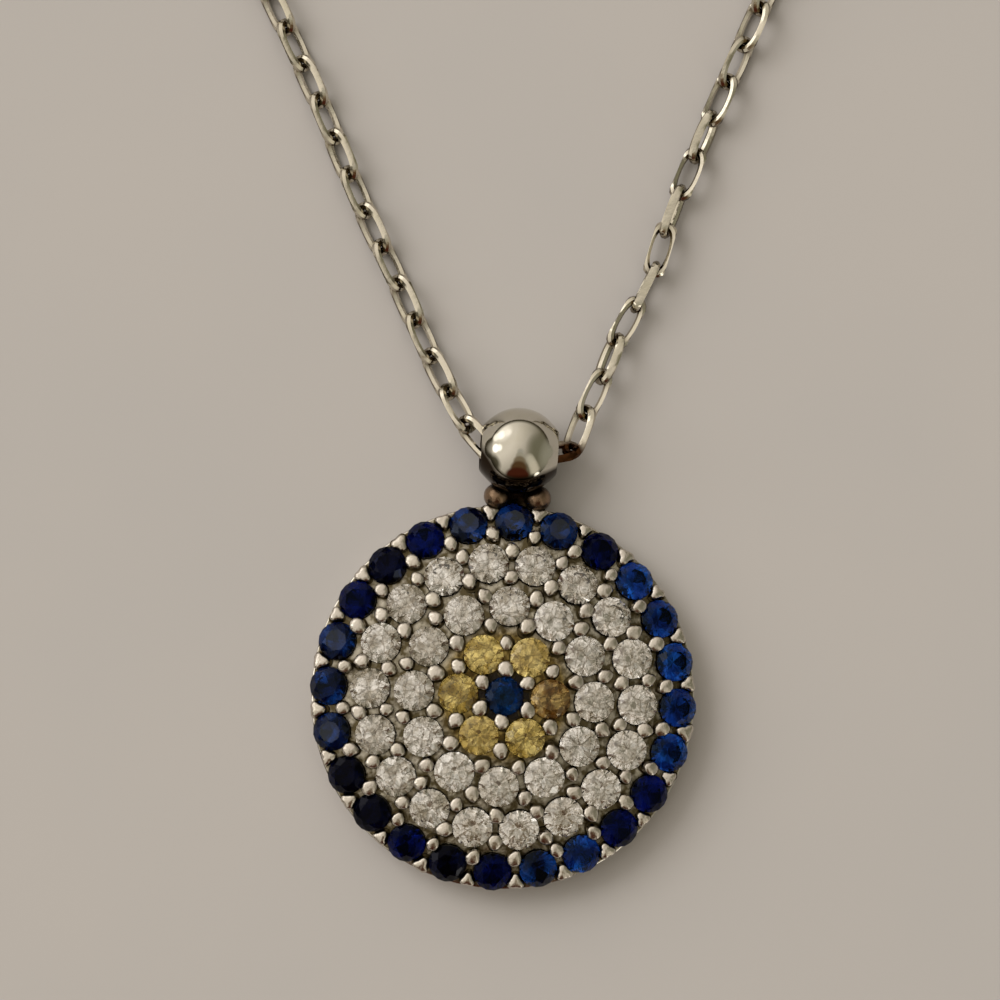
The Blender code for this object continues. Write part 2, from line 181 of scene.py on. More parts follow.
# Links of the diamond-cut cable chain. LINK_CUT is how far from its middle line the cut flattens them.
LEFT_PITCH = 1.26 * MM
RIGHT_PITCH = 1.28 * MM
LINK_WIRE = 0.275 * MM
LINK_WIDTH = 1.04 * MM
LINK_LENGTH = RIGHT_PITCH + 2 * LINK_WIRE + 0.015 * MM
LINK_SQUARENESS = 2.35
LINK_STEPS = 28
TANGENT_STEP = 0.02
LINK_WIRE_SIDES = 8
LINK_CUT = 0.35 * MM
# The first joint outside the ball on each strand, along the necklace from the ball's centre
LEFT_JOINT = 0.80 * MM
RIGHT_JOINT = 0.02 * MM
LINKS_IN_BAIL = 3
# Roll of the links about the chain in degrees, outward from those joints. Further on they alternate about
# CUT_ROLL and its opposite. Within CUT_SPREAD of these they lie as low as their cut lets them.
LEFT_ROLLS = (-40, 45, -42, 46, -45, 44, -45, 47, -43, 45, -45, 45)
RIGHT_ROLLS = (44, -32, 64, -28, 88, 5, -72, 22, -60, 35, -40, 40)
BAIL_ROLLS = (45, -45, 50)
ROLL_DRIFT = 9
CUT_ROLL = 45
CUT_SPREAD = 20
# The strands' height in the ball, how far below it they lie free, and how far their joints sink there
BAIL_LEVEL = 1.23 * MM
BAIL_FALL = 0.78 * MM
JOINT_SINK = 0.065 * MM
# How much of the way the last joints have risen to the clasp's level, from the clasp back
CLASP_EASE = (0.65, 0.25, 0.06)
ROUTE_STEPS = 12
LOOP_STEPS = 120
# Sides of these rings round their axis and of their wire
CLASP_SIDES = (72, 28)
EYELET_SIDES = (40, 16)
JUMP_RING_SIDES = (56, 20)

# How much larger than the solids' the stones are, which fill their places in the inner rings
STONE_SWELLS = {"yellow": 1.05, "clear": 1.06, "blue": 1.00}
# How far from true a hand-set stone leans, in radians
CLEAR_LEAN = 0.08
COLOUR_LEAN = 0.05
# In a stone's list of faces: the table, the first facet past the girdle, each fold's number of them, and
# the kite's place among those
TABLE_FACET = 0
FIRST_FACET = 1 + 2 * BRILLIANT_FOLD
FOLD_FACETS = 7
KITE = 1
# Stones that differ from their ring, numbered clockwise from the bail, the clear ones ring by ring
AMBER_STONE = 2
LIGHT_YELLOWS = (1, 4)
LIGHT_CLEARS = (2, 4, 6, 7, 8, 15, 16, 17, 18, 19, 20, 21, 22)
BLUE_TINTS = {"ink": (14, 16, 17, 22), "navy": (3, 9, 10, 13, 15, 21, 23), "royal": (4, 5, 6, 7, 8, 11)}
# Blue stones whose table, or a kite facet beside it, gets a lighter copy of the blue as a painted
# highlight
BRIGHT_TABLES = (1, 2, 18, 20, 24)
BRIGHT_SIDES = (1, 6, 7, 18, 19, 22, 24)
# Which way the centre stone's facets with a painted highlight face, and how squarely
CENTRE_SIDE = (0.36, -0.36, 0.86)
CENTRE_SQUARENESS = 0.93

# How far out the disc's metal takes a painted warm glow of the yellow stones' light, how that fades, and
# where it is black
YELLOW_GLOW_REACH = 2.22 * MM
YELLOW_GLOW_FADE = 0.35 * MM
BLACK_REACH = (0.92 * MM, 0.78 * MM)
# How far the stones' painted lines of dark facet reflection waver, and their width as a share of the space
# between them
FACET_LINE_WAVE = 0.22 * MM
FACET_LINE_WIDTH = 0.07
# How deep below the dome the setting's metal turns dark with painted shade
PAINTED_SHADE_DEPTHS = (0.12 * MM, 0.01 * MM)
# Which way the ball's black patches of painted dark reflection face, and how squarely a point must face
# that way to darken
DARK_REFLECTION_PATCHES = (((0.05, -0.87, -0.50), 0.10, 0.24), ((-0.86, -0.48, 0.14), 0.74, 0.86))
# Where painted brown shade and red-brown reflection darken the chain in the ball's right mouth, from the
# ball's centre, and how far it is full and fades out
MOUTH_SHADE_PLACE = Vector((1.52, -0.12, -0.05)) * MM
MOUTH_SHADE_REACH = (0.44 * MM, 0.72 * MM)

# The photograph's frame, as it lies on the surface
FRAME_WIDTH = 31.50 * MM
FRAME_CENTRE = Vector((-0.05 * MM, 6.22 * MM, 0))
CAMERA_DISTANCE = 0.25
CAMERA_TILT = math.radians(3.6)
CAMERA_SIDE = math.radians(225)

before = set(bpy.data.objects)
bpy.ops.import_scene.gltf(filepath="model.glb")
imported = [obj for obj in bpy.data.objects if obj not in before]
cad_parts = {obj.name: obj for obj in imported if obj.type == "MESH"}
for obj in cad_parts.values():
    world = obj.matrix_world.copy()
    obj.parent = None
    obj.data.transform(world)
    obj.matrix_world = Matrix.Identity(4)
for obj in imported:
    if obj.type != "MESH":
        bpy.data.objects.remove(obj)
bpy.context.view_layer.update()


def ring_radius(ring):
    return (STONE_DIAMETER + ring["gap"]) / (2 * math.sin(math.pi / ring["stones"]))


DISC_RADIUS = ring_radius(RINGS[-1]) + RIM_WIDTH
BALL_Y = DISC_RADIUS + BALL_GAP + BALL_RADIUS
EYELET_X = -(CLASP_RADIUS + CLASP_WIRE / 4 + EYELET_RADIUS)
JUMP_RING_X = CLASP_RADIUS - CLASP_WIRE / 2 + JUMP_RING_RADIUS - JUMP_RING_WIRE / 2 - JUMP_RING_SLACK
PENDANT = Matrix.Rotation(PENDANT_TURN, 4, "Z")
BALL_CENTRE = PENDANT @ Vector((0, BALL_Y, BALL_RADIUS))


def dome_height(radius):
    edge = math.sqrt(DOME_RADIUS**2 - DISC_RADIUS**2)
    return EDGE_HEIGHT + math.sqrt(DOME_RADIUS**2 - radius**2) - edge


def on_dome(radius, angle, lift=0.0, spin=0.0):
    """Placement square to the dome, at an angle from the bail, lifted along the dome's normal."""
    tilt = math.asin(radius / DOME_RADIUS)
    place = Vector((radius * math.sin(angle), radius * math.cos(angle), dome_height(radius)))
    turn = Matrix.Rotation(-angle, 4, "Z") @ Matrix.Rotation(-tilt, 4, "X")
    lifted = Matrix.Translation((0, 0, lift)) @ Matrix.Rotation(spin, 4, "Z")
    return PENDANT @ Matrix.Translation(place) @ turn @ lifted


def ring_of(bm, sides, radius, height, matrix, first=0.0):
    angles = [first + 2 * math.pi * k / sides for k in range(sides)]
    points = [Vector((radius * math.cos(a), radius * math.sin(a), height)) for a in angles]
    return [bm.verts.new(matrix @ point) for point in points]


def skin(bm, low, high):
    count = len(low)
    for k in range(count):
        bm.faces.new((low[k], low[(k + 1) % count], high[(k + 1) % count], high[k]))


def tube(bm, rings, closed=False):
    """Skins from each ring to the next, and from the last to the first of a closed tube."""
    for low, high in zip(rings, rings[1:] + (rings[:1] if closed else [])):
        skin(bm, low, high)


def fan(bm, ring, point):
    tip = bm.verts.new(point)
    for k, vertex in enumerate(ring):
        bm.faces.new((vertex, ring[(k + 1) % len(ring)], tip))


def turned(bm, sides, profile, matrix):
    """A closed turned form of (radius, height) pairs, with its ends closed flat or to a tip."""
    rings = [ring_of(bm, sides, radius, height, matrix) for radius, height in profile if radius > 0]
    tube(bm, rings)
    for (radius, height), ring in ((profile[0], rings[0]), (profile[-1], rings[-1])):
        if radius > 0:
            bm.faces.new(ring)
        else:
            fan(bm, ring, matrix @ Vector((0, 0, height)))


def piece(name, bm, *materials, sharp=None):
    """A new object. Edges over the sharp angle stay crisp, or all of them without one."""
    bmesh.ops.recalc_face_normals(bm, faces=bm.faces)
    mesh = bpy.data.meshes.new(name)
    bm.to_mesh(mesh)
    bm.free()
    for material in materials:
        mesh.materials.append(material)
    if sharp is not None:
        mesh.shade_smooth()
        mesh.set_sharp_from_angle(angle=math.radians(sharp))
    obj = bpy.data.objects.new(name, mesh)
    bpy.context.scene.collection.objects.link(obj)
    return obj


def apply_modifiers(obj):
    """Puts the modifiers' result into the object's own mesh."""
    evaluated = obj.evaluated_get(bpy.context.evaluated_depsgraph_get())
    mesh = bpy.data.meshes.new_from_object(evaluated)
    obj.modifiers.clear()
    obj.data = mesh


def brilliant(bm, matrix):
    """One round brilliant of 57 facets with its girdle's lower edge at the matrix's origin."""
    count = BRILLIANT_FOLD
    half = math.pi / count
    table = TABLE_SHARE * STONE_RADIUS
    crown = CROWN_SHARE * STONE_DIAMETER
    girdle = GIRDLE_SHARE * STONE_DIAMETER
    depth = PAVILION_SHARE * STONE_DIAMETER
    edge = table * math.cos(half)
    star = edge + STAR_SHARE * (STONE_RADIUS - edge)
    fall = (star * math.cos(half) - table) / (STONE_RADIUS - table)
    table_ring = ring_of(bm, count, table, girdle + crown, matrix)
    star_ring = ring_of(bm, count, star, girdle + crown * (1 - fall), matrix, half)
    upper = ring_of(bm, 2 * count, STONE_RADIUS, girdle, matrix)
    lower = ring_of(bm, 2 * count, STONE_RADIUS, 0, matrix)
    inner = (1 - LOWER_FACET_SHARE) * STONE_RADIUS
    rise = inner * math.cos(half) / STONE_RADIUS
    inner_ring = ring_of(bm, count, inner, -depth * (1 - rise), matrix, half)
    tip = bm.verts.new(matrix @ Vector((0, 0, -depth)))
    bm.faces.new(table_ring)
    skin(bm, lower, upper)
    for k in range(count):
        after = (k + 1) % count
        corner, between, following = upper[2 * k], upper[2 * k + 1], upper[2 * after]
        bm.faces.new((table_ring[k], table_ring[after], star_ring[k]))
        bm.faces.new((table_ring[k], star_ring[k], corner, star_ring[k - 1]))
        bm.faces.new((star_ring[k], corner, between))
        bm.faces.new((star_ring[k], between, following))
        corner, between, following = lower[2 * k], lower[2 * k + 1], lower[2 * after]
        bm.faces.new((inner_ring[k], between, corner))
        bm.faces.new((inner_ring[k], following, between))
        bm.faces.new((tip, inner_ring[k - 1], corner, inner_ring[k]))


# Materials

# Places of a Mix node's colour sockets, whose names its other sockets share
COLOUR_A, COLOUR_B, COLOUR_RESULT = 6, 7, 2


def new_material(name):
    material = bpy.data.materials.new(name)
    material.use_nodes = True
    return material, material.node_tree, material.node_tree.nodes["Principled BSDF"]


def set_inputs(node, values):
    for name, value in values.items():
        node.inputs[name].default_value = value


def here(tree, kind="Object"):
    """The shaded point's place in the part's own metres, or another of its coordinates."""
    return tree.nodes.new("ShaderNodeTexCoord").outputs[kind]


def compared(tree, operation, place, other):
    """The distance or the dot product of a place and a fixed vector."""
    made = tree.nodes.new("ShaderNodeVectorMath")
    made.operation = operation
    made.inputs[1].default_value = other
    tree.links.new(place, made.inputs[0])
    return made.outputs["Value"]


def noise_node(tree, scale, detail=2.0):
    """Noise in the part's own metres."""
    made = tree.nodes.new("ShaderNodeTexNoise")
    set_inputs(made, {"Scale": scale, "Detail": detail})
    tree.links.new(here(tree), made.inputs["Vector"])
    return made


def span(tree, value, low, high, from_low=0.0, from_high=1.0):
    """The value carried from its own span to the one from low to high, and held at those ends."""
    made = tree.nodes.new("ShaderNodeMapRange")
    set_inputs(made, {"From Min": from_low, "From Max": from_high, "To Min": low, "To Max": high})
    tree.links.new(value, made.inputs["Value"])
    return made.outputs["Result"]


def mixed(tree, share, first, second):
    """The first colour where the share is nought and the second where it is one."""
    made = tree.nodes.new("ShaderNodeMix")
    made.data_type = "RGBA"
    tree.links.new(share, made.inputs["Factor"])
    for socket, colour in ((made.inputs[COLOUR_A], first), (made.inputs[COLOUR_B], second)):
        if isinstance(colour, tuple):
            socket.default_value = (*colour, 1)
        else:
            tree.links.new(colour, socket)
    return made.outputs[COLOUR_RESULT]


def silver(name, clean, tarnish, rough, reach, depth=0.0, edges=(0.20, 0.70), scale=7500.0):
    """Polished white metal, tarnished in its hollows, with polishing marks that vary the gloss."""
    material, tree, shader = new_material(name)
    shader.inputs["Metallic"].default_value = 1.0
    hollow = tree.nodes.new("ShaderNodeAmbientOcclusion")
    hollow.samples = 8
    hollow.inputs["Distance"].default_value = reach
    open_share = span(tree, hollow.outputs["AO"], 0.0, 1.0, *edges)
    colour = mixed(tree, open_share, tarnish, clean)
    mottle = noise_node(tree, 1800.0)
    faint = (0.90 * clean[0], 0.90 * clean[1], 0.82 * clean[2])
    share = span(tree, mottle.outputs["Fac"], 0.0, 0.6, 0.45, 0.75)
    tree.links.new(mixed(tree, share, colour, faint), shader.inputs["Base Color"])
    marks = noise_node(tree, scale, 4.0)
    gloss = span(tree, marks.outputs["Fac"], rough * 0.7, rough * 1.5)
    tree.links.new(gloss, shader.inputs["Roughness"])
    if depth:
        raised = tree.nodes.new("ShaderNodeBump")
        raised.inputs["Distance"].default_value = depth
        tree.links.new(marks.outputs["Fac"], raised.inputs["Height"])
        tree.links.new(raised.outputs["Normal"], shader.inputs["Normal"])
    return material


def away_from(tree, centre):
    """How far a point lies from this one."""
    return compared(tree, "DISTANCE", here(tree), centre)


def base_colour(material):
    """The material's nodes, its colour's socket, and what feeds it so far."""
    tree = material.node_tree
    socket = tree.nodes["Principled BSDF"].inputs["Base Color"]
    return tree, socket, socket.links[0].from_socket


def setting_metal():
    """The pave setting's metal, worn between the beads, with a painted warm glow near the yellow stones
    and painted shade down the sides of its seats.
    """
    material = silver(
        "setting_silver",
        clean=(0.50, 0.46, 0.39),
        tarnish=(0.05, 0.038, 0.016),
        rough=0.24,
        reach=0.20 * MM,
        depth=0.045 * MM,
        edges=(0.36, 0.92),
        scale=4200.0,
    )
    tree, base, clean = base_colour(material)
    cuts = noise_node(tree, 3600.0)
    share = span(tree, cuts.outputs["Fac"], 1.0, 0.0, 0.42, 0.62)
    wear_and_painted_light = mixed(tree, share, clean, (0.10, 0.08, 0.042))
    out = away_from(tree, (0, 0, dome_height(0.0)))
    # Painted warm glow of the yellow stones' light, on the metal near them
    painted_yellow_glow = mixed(tree, share, (0.30, 0.215, 0.07), (0.075, 0.048, 0.014))
    near = span(tree, out, 0.0, 1.0, YELLOW_GLOW_REACH, YELLOW_GLOW_REACH - YELLOW_GLOW_FADE)
    wear_and_painted_light = mixed(tree, near, wear_and_painted_light, painted_yellow_glow)
    wear_and_painted_light = mixed(tree, span(tree, out, 0.0, 1.0, *BLACK_REACH), wear_and_painted_light, (0.022, 0.018, 0.014))
    # Painted shade down the seats' walls, below the dome's surface
    away = away_from(tree, (0, 0, dome_height(0.0) - DOME_RADIUS))
    share = span(tree, away, 1.0, 0.0, *(DOME_RADIUS - depth for depth in PAINTED_SHADE_DEPTHS))
    tree.links.new(mixed(tree, share, wear_and_painted_light, (0.06, 0.048, 0.024)), base)
    return material


def chain_metal():
    """The links' metal: bright on top, with painted shade down the sides of the wire, and painted brown
    shade and reflection at the ball's right mouth.
    """
    material = silver(
        "chain_silver",
        clean=(0.68, 0.63, 0.53),
        tarnish=(0.09, 0.064, 0.028),
        rough=0.14,
        reach=0.26 * MM,
        depth=0.008 * MM,
        edges=(0.40, 0.92),
    )
    tree, base, clean = base_colour(material)
    # Painted shade down the wire's sides, by which way its surface faces
    facing_up = tree.nodes.new("ShaderNodeSeparateXYZ")
    tree.links.new(here(tree, "Normal"), facing_up.inputs["Vector"])
    share = span(tree, facing_up.outputs["Z"], 1.0, 0.0, 0.26, 0.66)
    wear_and_painted_light = mixed(tree, share, clean, (0.12, 0.086, 0.04))
    # Painted brown shade and red-brown reflection on the links in the ball's right mouth
    near = away_from(tree, BALL_CENTRE + MOUTH_SHADE_PLACE)
    share = span(tree, near, 1.0, 0.0, *MOUTH_SHADE_REACH)
    tree.links.new(mixed(tree, share, wear_and_painted_light, (0.055, 0.022, 0.008)), base)
    return material


def ball_metal():
    """The ball's brighter polish, with black patches of painted dark reflection towards the neck and below
    its left mouth.
    """
    material = silver(
        "ball_silver", clean=(0.60, 0.57, 0.50), tarnish=(0.16, 0.12, 0.07), rough=0.06, reach=0.25 * MM
    )
    tree, base, colour = base_colour(material)
    # Painted dark reflections of the neck's shade and of dark things low on the left
    for toward, least, most in DARK_REFLECTION_PATCHES:
        toward = Vector(toward).normalized() / BALL_RADIUS
        value = compared(tree, "DOT_PRODUCT", here(tree), toward)
        start = BALL_CENTRE.dot(toward)
        share = span(tree, value, 0.0, 1.0, start + least, start + most)
        colour = mixed(tree, share, colour, (0.03, 0.02, 0.012))
    tree.links.new(colour, base)
    return material


def gem(name, index, rough, clarity, scale, colour, deeper, gleam, facet_lines=None):
    """A cut stone. Its colour drifts a little through it, as in natural and grown stones."""
    material, tree, shader = new_material(name)
    set_inputs(shader, {"IOR": index, "Transmission Weight": clarity, "Roughness": rough})
    set_inputs(shader, {"Specular Tint": (*gleam, 1.0)})
    cloud = noise_node(tree, scale, 1.0)
    share = span(tree, cloud.outputs["Fac"], 0.0, 1.0, 0.41, 0.59)
    body = mixed(tree, share, colour, deeper)
    # Fine lines of painted dark reflection, as where facets meet
    if facet_lines:
        body = mixed(tree, facet_line_share(tree), facet_lines, body)
    tree.links.new(body, shader.inputs["Base Color"])
    return material


def facet_line_share(tree):
    """Nought along fine wavy lines of painted dark reflection, as where a stone's facets meet, and one
    between them.
    """
    wave = noise_node(tree, 3000.0, 1.0)
    bent = tree.nodes.new("ShaderNodeVectorMath")
    bent.operation = "MULTIPLY_ADD"
    bent.inputs[1].default_value = (FACET_LINE_WAVE, FACET_LINE_WAVE, FACET_LINE_WAVE)
    tree.links.new(wave.outputs["Color"], bent.inputs[0])
    tree.links.new(here(tree), bent.inputs[2])
    cells = tree.nodes.new("ShaderNodeTexVoronoi")
    cells.feature = "DISTANCE_TO_EDGE"
    cells.inputs["Scale"].default_value = 2500.0
    tree.links.new(bent.outputs["Vector"], cells.inputs["Vector"])
    return span(tree, cells.outputs["Distance"], 0.0, 1.0, 0.0, FACET_LINE_WIDTH)


def floor_material():
    """Pale paint with a faint mottle."""
    material, tree, shader = new_material("pale_surface")
    set_inputs(shader, {"Roughness": 0.65, "Specular IOR Level": 0.25})
    cloud = noise_node(tree, 90.0, 3.0)
    share = span(tree, cloud.outputs["Fac"], 0.0, 1.0, 0.35, 0.65)
    paint = mixed(tree, share, (0.54, 0.513, 0.50), (0.525, 0.503, 0.495))
    tree.links.new(paint, shader.inputs["Base Color"])
    return material


SETTING_SILVER = setting_metal()
BEAD_SILVER = silver(
    "bead_silver",
    clean=(0.62, 0.57, 0.51),
    tarnish=(0.05, 0.038, 0.018),
    rough=0.20,
    reach=0.16 * MM,
    depth=0.026 * MM,
    edges=(0.45, 0.96),
    scale=6000.0,
)
RIM_SILVER = silver(
    "rim_silver",
    clean=(0.62, 0.58, 0.52),
    tarnish=(0.08, 0.06, 0.03),
    rough=0.16,
    reach=0.30 * MM,
    depth=0.004 * MM,
)
# Painted shade: the black ring round each bead's foot
BEAD_FOOT_SHADE = silver(
    "bead_foot_painted_shade", clean=(0.05, 0.038, 0.018), tarnish=(0.02, 0.014, 0.006), rough=0.30, reach=0.20 * MM
)
END_SILVER = silver(
    "end_silver", clean=(0.58, 0.55, 0.48), tarnish=(0.20, 0.16, 0.09), rough=0.06, reach=0.25 * MM
)
BALL_SILVER = ball_metal()
# The neck's dark brown is partly tarnish and partly painted shade under the ball, and it turns black
# across its hollows
NECK_SILVER = silver(
    "neck_silver",
    clean=(0.26, 0.175, 0.115),
    tarnish=(0.01, 0.007, 0.004),
    rough=0.27,
    reach=0.50 * MM,
    depth=0.02 * MM,
    edges=(0.46, 1.00),
)
CHAIN_SILVER = chain_metal()

# The refractive index, roughness, clearness and grain of each kind of stone, and for each of its gems the
# colours of its body, deeper parts, gleam and painted lines of dark facet reflection
STONE_KINDS = (
    ((2.1, 0.03, 0.95, 2000.0), {
        "clear_gem": ((1.0, 0.97, 0.94), (0.4, 0.36, 0.29), (0.66, 0.64, 0.62), (0.12, 0.085, 0.045)),
        "light_clear_gem": ((1.0, 0.97, 0.94), (0.7, 0.65, 0.58), (0.95, 0.93, 0.91), (0.2, 0.155, 0.095)),
    }),
    ((2.1, 0.03, 0.95, 1800.0), {
        "yellow_gem": ((0.96, 0.76, 0.26), (0.2, 0.125, 0.018), (0.45, 0.42, 0.3), (0.1, 0.055, 0.007)),
        "amber_gem": ((0.74, 0.52, 0.18), (0.09, 0.036, 0.006), (0.45, 0.38, 0.25), (0.06, 0.024, 0.004)),
        "straw_gem": ((0.98, 0.8, 0.33), (0.5, 0.35, 0.09), (0.7, 0.62, 0.42), (0.19, 0.115, 0.022)),
    }),
    ((1.77, 0.0, 1.0, 1500.0), {
        "ink_gem": ((0.001, 0.002, 0.014), (0.0002, 0.0003, 0.002), (0.05, 0.05, 0.07)),
        "navy_gem": ((0.0008, 0.004, 0.075), (0.0001, 0.0005, 0.008), (0.035, 0.045, 0.09)),
        "blue_gem": ((0.0036, 0.03, 0.17), (0.0002, 0.0008, 0.009), (0.09, 0.115, 0.165)),
        "royal_gem": ((0.009, 0.085, 0.46), (0.001, 0.006, 0.06), (0.08, 0.12, 0.19)),
        "blue_painted_highlight": ((0.006, 0.03, 0.16), (0.0006, 0.002, 0.016), (0.38, 0.43, 0.52)),
        "teal_gem": ((0.0005, 0.012, 0.036), (0.0001, 0.001, 0.004), (0.1, 0.14, 0.16)),
    }),
)


# The setting: domed disc with its drilled seats, bead prongs, ball bail and neck


def stone_places(colour):
    """Where the stones of one colour sit, ring by ring."""
    places = []
    for ring in RINGS:
        if ring["colour"] == colour:
            swell = Matrix.Scale(STONE_SWELLS[colour], 4)
            step = 2 * math.pi / ring["stones"]
            for k in range(ring["stones"]):
                angle = ring["first_angle"] + step * k
                places.append(on_dome(ring_radius(ring), angle, GIRDLE_LIFT, STONE_SPIN * k) @ swell)
    return places


def prong_spots():
    """Radius, angle and form of each bead prong: inside and outside of a ring, or along the rim."""
    spots = []
    for ring in RINGS:
        half = math.pi / ring["stones"]
        reach = STONE_RADIUS + PRONG_RADIUS + ring["prong_gap"]
        across = ring_radius(ring) * math.sin(half)
        offset = math.sqrt(reach**2 - across**2)
        for side in (-offset, offset):
            form = "inner" if side < 0 else "rim" if ring is RINGS[-1] else "outer"
            radius = ring_radius(ring) * math.cos(half) + side
            for k in range(ring["stones"]):
                spots.append((radius, ring["first_angle"] + half * (2 * k + 1), form))
    return spots


def build_disc():
    """The domed disc with its seats cut in. Its wall is of a brighter metal."""
    rim, foot = DISC_RADIUS + RIM_OUT, DISC_RADIUS - FOOT_IN
    profile = [(foot - FOOT_ROUNDING, 0.0), (foot - 0.03 * MM, 0.03 * MM), (foot, FOOT_ROUNDING)]
    profile += [(rim, EDGE_HEIGHT - 0.10 * MM), (rim, EDGE_HEIGHT - 0.05 * MM)]
    profile += [(rim - 0.04 * MM, EDGE_HEIGHT - 0.01 * MM)]
    for k in range(1, DOME_STEPS):
        radius = DISC_RADIUS * (1 - k / DOME_STEPS)
        profile.append((radius, dome_height(radius)))
    profile.append((0.0, dome_height(0.0)))
    bm = bmesh.new()
    turned(bm, DISC_SIDES, profile, PENDANT)
    bm.normal_update()
    for face in bm.faces:
        outside = face.calc_center_median().xy.length > foot - 1.2 * FOOT_ROUNDING
        wall = outside and abs(face.normal.z) < WALL_STEEPNESS
        face.material_index = 1 if wall else 0
    disc = piece("setting_disc", bm, SETTING_SILVER, RIM_SILVER, sharp=40)
    bm = bmesh.new()
    centre = [on_dome(0.0, 0.0, GIRDLE_LIFT)]
    for matrix in centre + stone_places("yellow") + stone_places("clear") + stone_places("blue"):
        turned(bm, SEAT_SIDES, SEAT_PROFILE, matrix)
    cutter = piece("seat_cutter", bm, SETTING_SILVER, sharp=40)
    cut = disc.modifiers.new("seats", "BOOLEAN")
    cut.operation = "DIFFERENCE"
    cut.object = cutter
    cut.solver = "EXACT"
    cut.use_self = True
    apply_modifiers(disc)
    bpy.data.objects.remove(cutter)
    disc.data.shade_smooth()
    disc.data.set_sharp_from_angle(angle=math.radians(35))
    return disc


def bead_reach(form, angle):
    """A bead's outline by the angle from the disc's outward way: three-cornered, or with a tail."""
    if form == "rim":
        return CORNER_REACH - CORNER_DEPTH * math.cos(3 * angle)
    toward = math.cos(angle) if form == "outer" else -math.cos(angle)
    return 1 + TAIL_REACH * max(0.0, toward) ** TAIL_POWER


def bead_profile(radius, height):
    """Shares of a bead's radius, with their heights above the dome, from its root up to its cap."""
    profile = [(FOOT_SWELL, -PRONG_ROOT), (FOOT_SWELL, 0.5 * FOOT_LEVEL)]
    profile += [(1.0, FOOT_LEVEL), (1.0, SIDE_LEVEL)]
    across, upward = CAP_POWERS
    for k in range(PRONG_STEPS):
        angle = math.pi / 2 * k / PRONG_STEPS
        level = height + PRONG_CAP * radius * (math.sin(angle) ** upward - 1)
        profile.append((math.cos(angle) ** across, level))
    return profile


def build_prongs():
    """Low, broad bead prongs, each a little different, with a ring of painted shade round its foot."""
    bm = bmesh.new()
    for number, (out, place, form) in enumerate(prong_spots()):
        size = noise.noise_vector(Vector((number * 1.7, 3.1, 0.4)))
        pose = noise.noise_vector(Vector((number * 2.9, 0.3, 8.1)))
        radius = PRONG_RADIUS * PRONG_SWELL * (1 + WIDTH_DRIFT * size.x)
        height = (RIM_PRONG_HEIGHT if form == "rim" else PRONG_HEIGHT) * (1 + HEIGHT_DRIFT * size.y)
        lean = Matrix.Rotation(LEAN_DRIFT * size.z, 4, "X") @ Matrix.Rotation(LEAN_DRIFT * pose.x, 4, "Y")
        matrix = on_dome(out, place) @ Matrix.Rotation(TURN_DRIFT[form] * pose.y, 4, "Z") @ lean
        rings = []
        for share, level in bead_profile(radius, height):
            ring = []
            for k in range(PRONG_SIDES):
                angle = 2 * math.pi * k / PRONG_SIDES
                s, c = math.sin(angle), math.cos(angle)
                rough = 1 + OUTLINE_DRIFT * noise.noise(Vector((3 * s, 3 * c, number + 4 * level / MM)))
                reach = radius * share * bead_reach(form, angle)
                ring.append(bm.verts.new(matrix @ Vector((reach * rough * s, reach * rough * c, level))))
            rings.append(ring)
        tube(bm, rings)
        bm.faces.new(rings[0])
        fan(bm, rings[-1], matrix @ Vector((0, 0, height)))
        bm.faces.ensure_lookup_table()
        made = PRONG_SIDES * len(rings) + 1
        # The ring round the foot takes the painted shade
        for face in bm.faces[-made:-made + 2 * PRONG_SIDES]:
            face.material_index = 1
    return piece("bead_prongs", bm, BEAD_SILVER, BEAD_FOOT_SHADE, sharp=60)


def mouth_profile():
    """Radius and distance from the ball's middle of a mouth, from its hole out to the sphere."""
    shoulder = Vector((BALL_SHOULDER, math.sqrt(BALL_RADIUS**2 - BALL_SHOULDER**2)))
    corner = shoulder + MOUTH_ROUNDING * Vector((-shoulder.y, shoulder.x)).normalized()
    lip = Vector((HOLE_RADIUS + 0.04 * MM, BALL_MOUTH))
    curve = []
    for k in range(MOUTH_STEPS):
        share = k / MOUTH_STEPS
        curve.append(lip.lerp(corner, share).lerp(corner.lerp(shoulder, share), share))
    inside = [(HOLE_RADIUS, BALL_MOUTH - 0.10 * MM), (HOLE_RADIUS + 0.01 * MM, BALL_MOUTH - 0.03 * MM)]
    return [*inside, *curve]


def build_ball():
    """The drilled ball, turned about its hole, with a rounded mouth at each end."""
    matrix = PENDANT @ Matrix.Translation((0, BALL_Y, BALL_RADIUS)) @ Matrix.Rotation(math.pi / 2, 4, "Y")
    start = math.asin(BALL_SHOULDER / BALL_RADIUS)
    mouth = mouth_profile()
    profile = list(mouth)
    for k in range(BALL_STEPS + 1):
        angle = start + (math.pi - 2 * start) * k / BALL_STEPS
        profile.append((BALL_RADIUS * math.sin(angle), BALL_RADIUS * math.cos(angle)))
    profile += [(radius, -out) for radius, out in reversed(mouth)]
    bm = bmesh.new()
    rings = [ring_of(bm, BALL_SIDES, radius, height, matrix) for radius, height in profile]
    tube(bm, rings, closed=True)
    return piece("ball_bail", bm, BALL_SILVER, sharp=40)


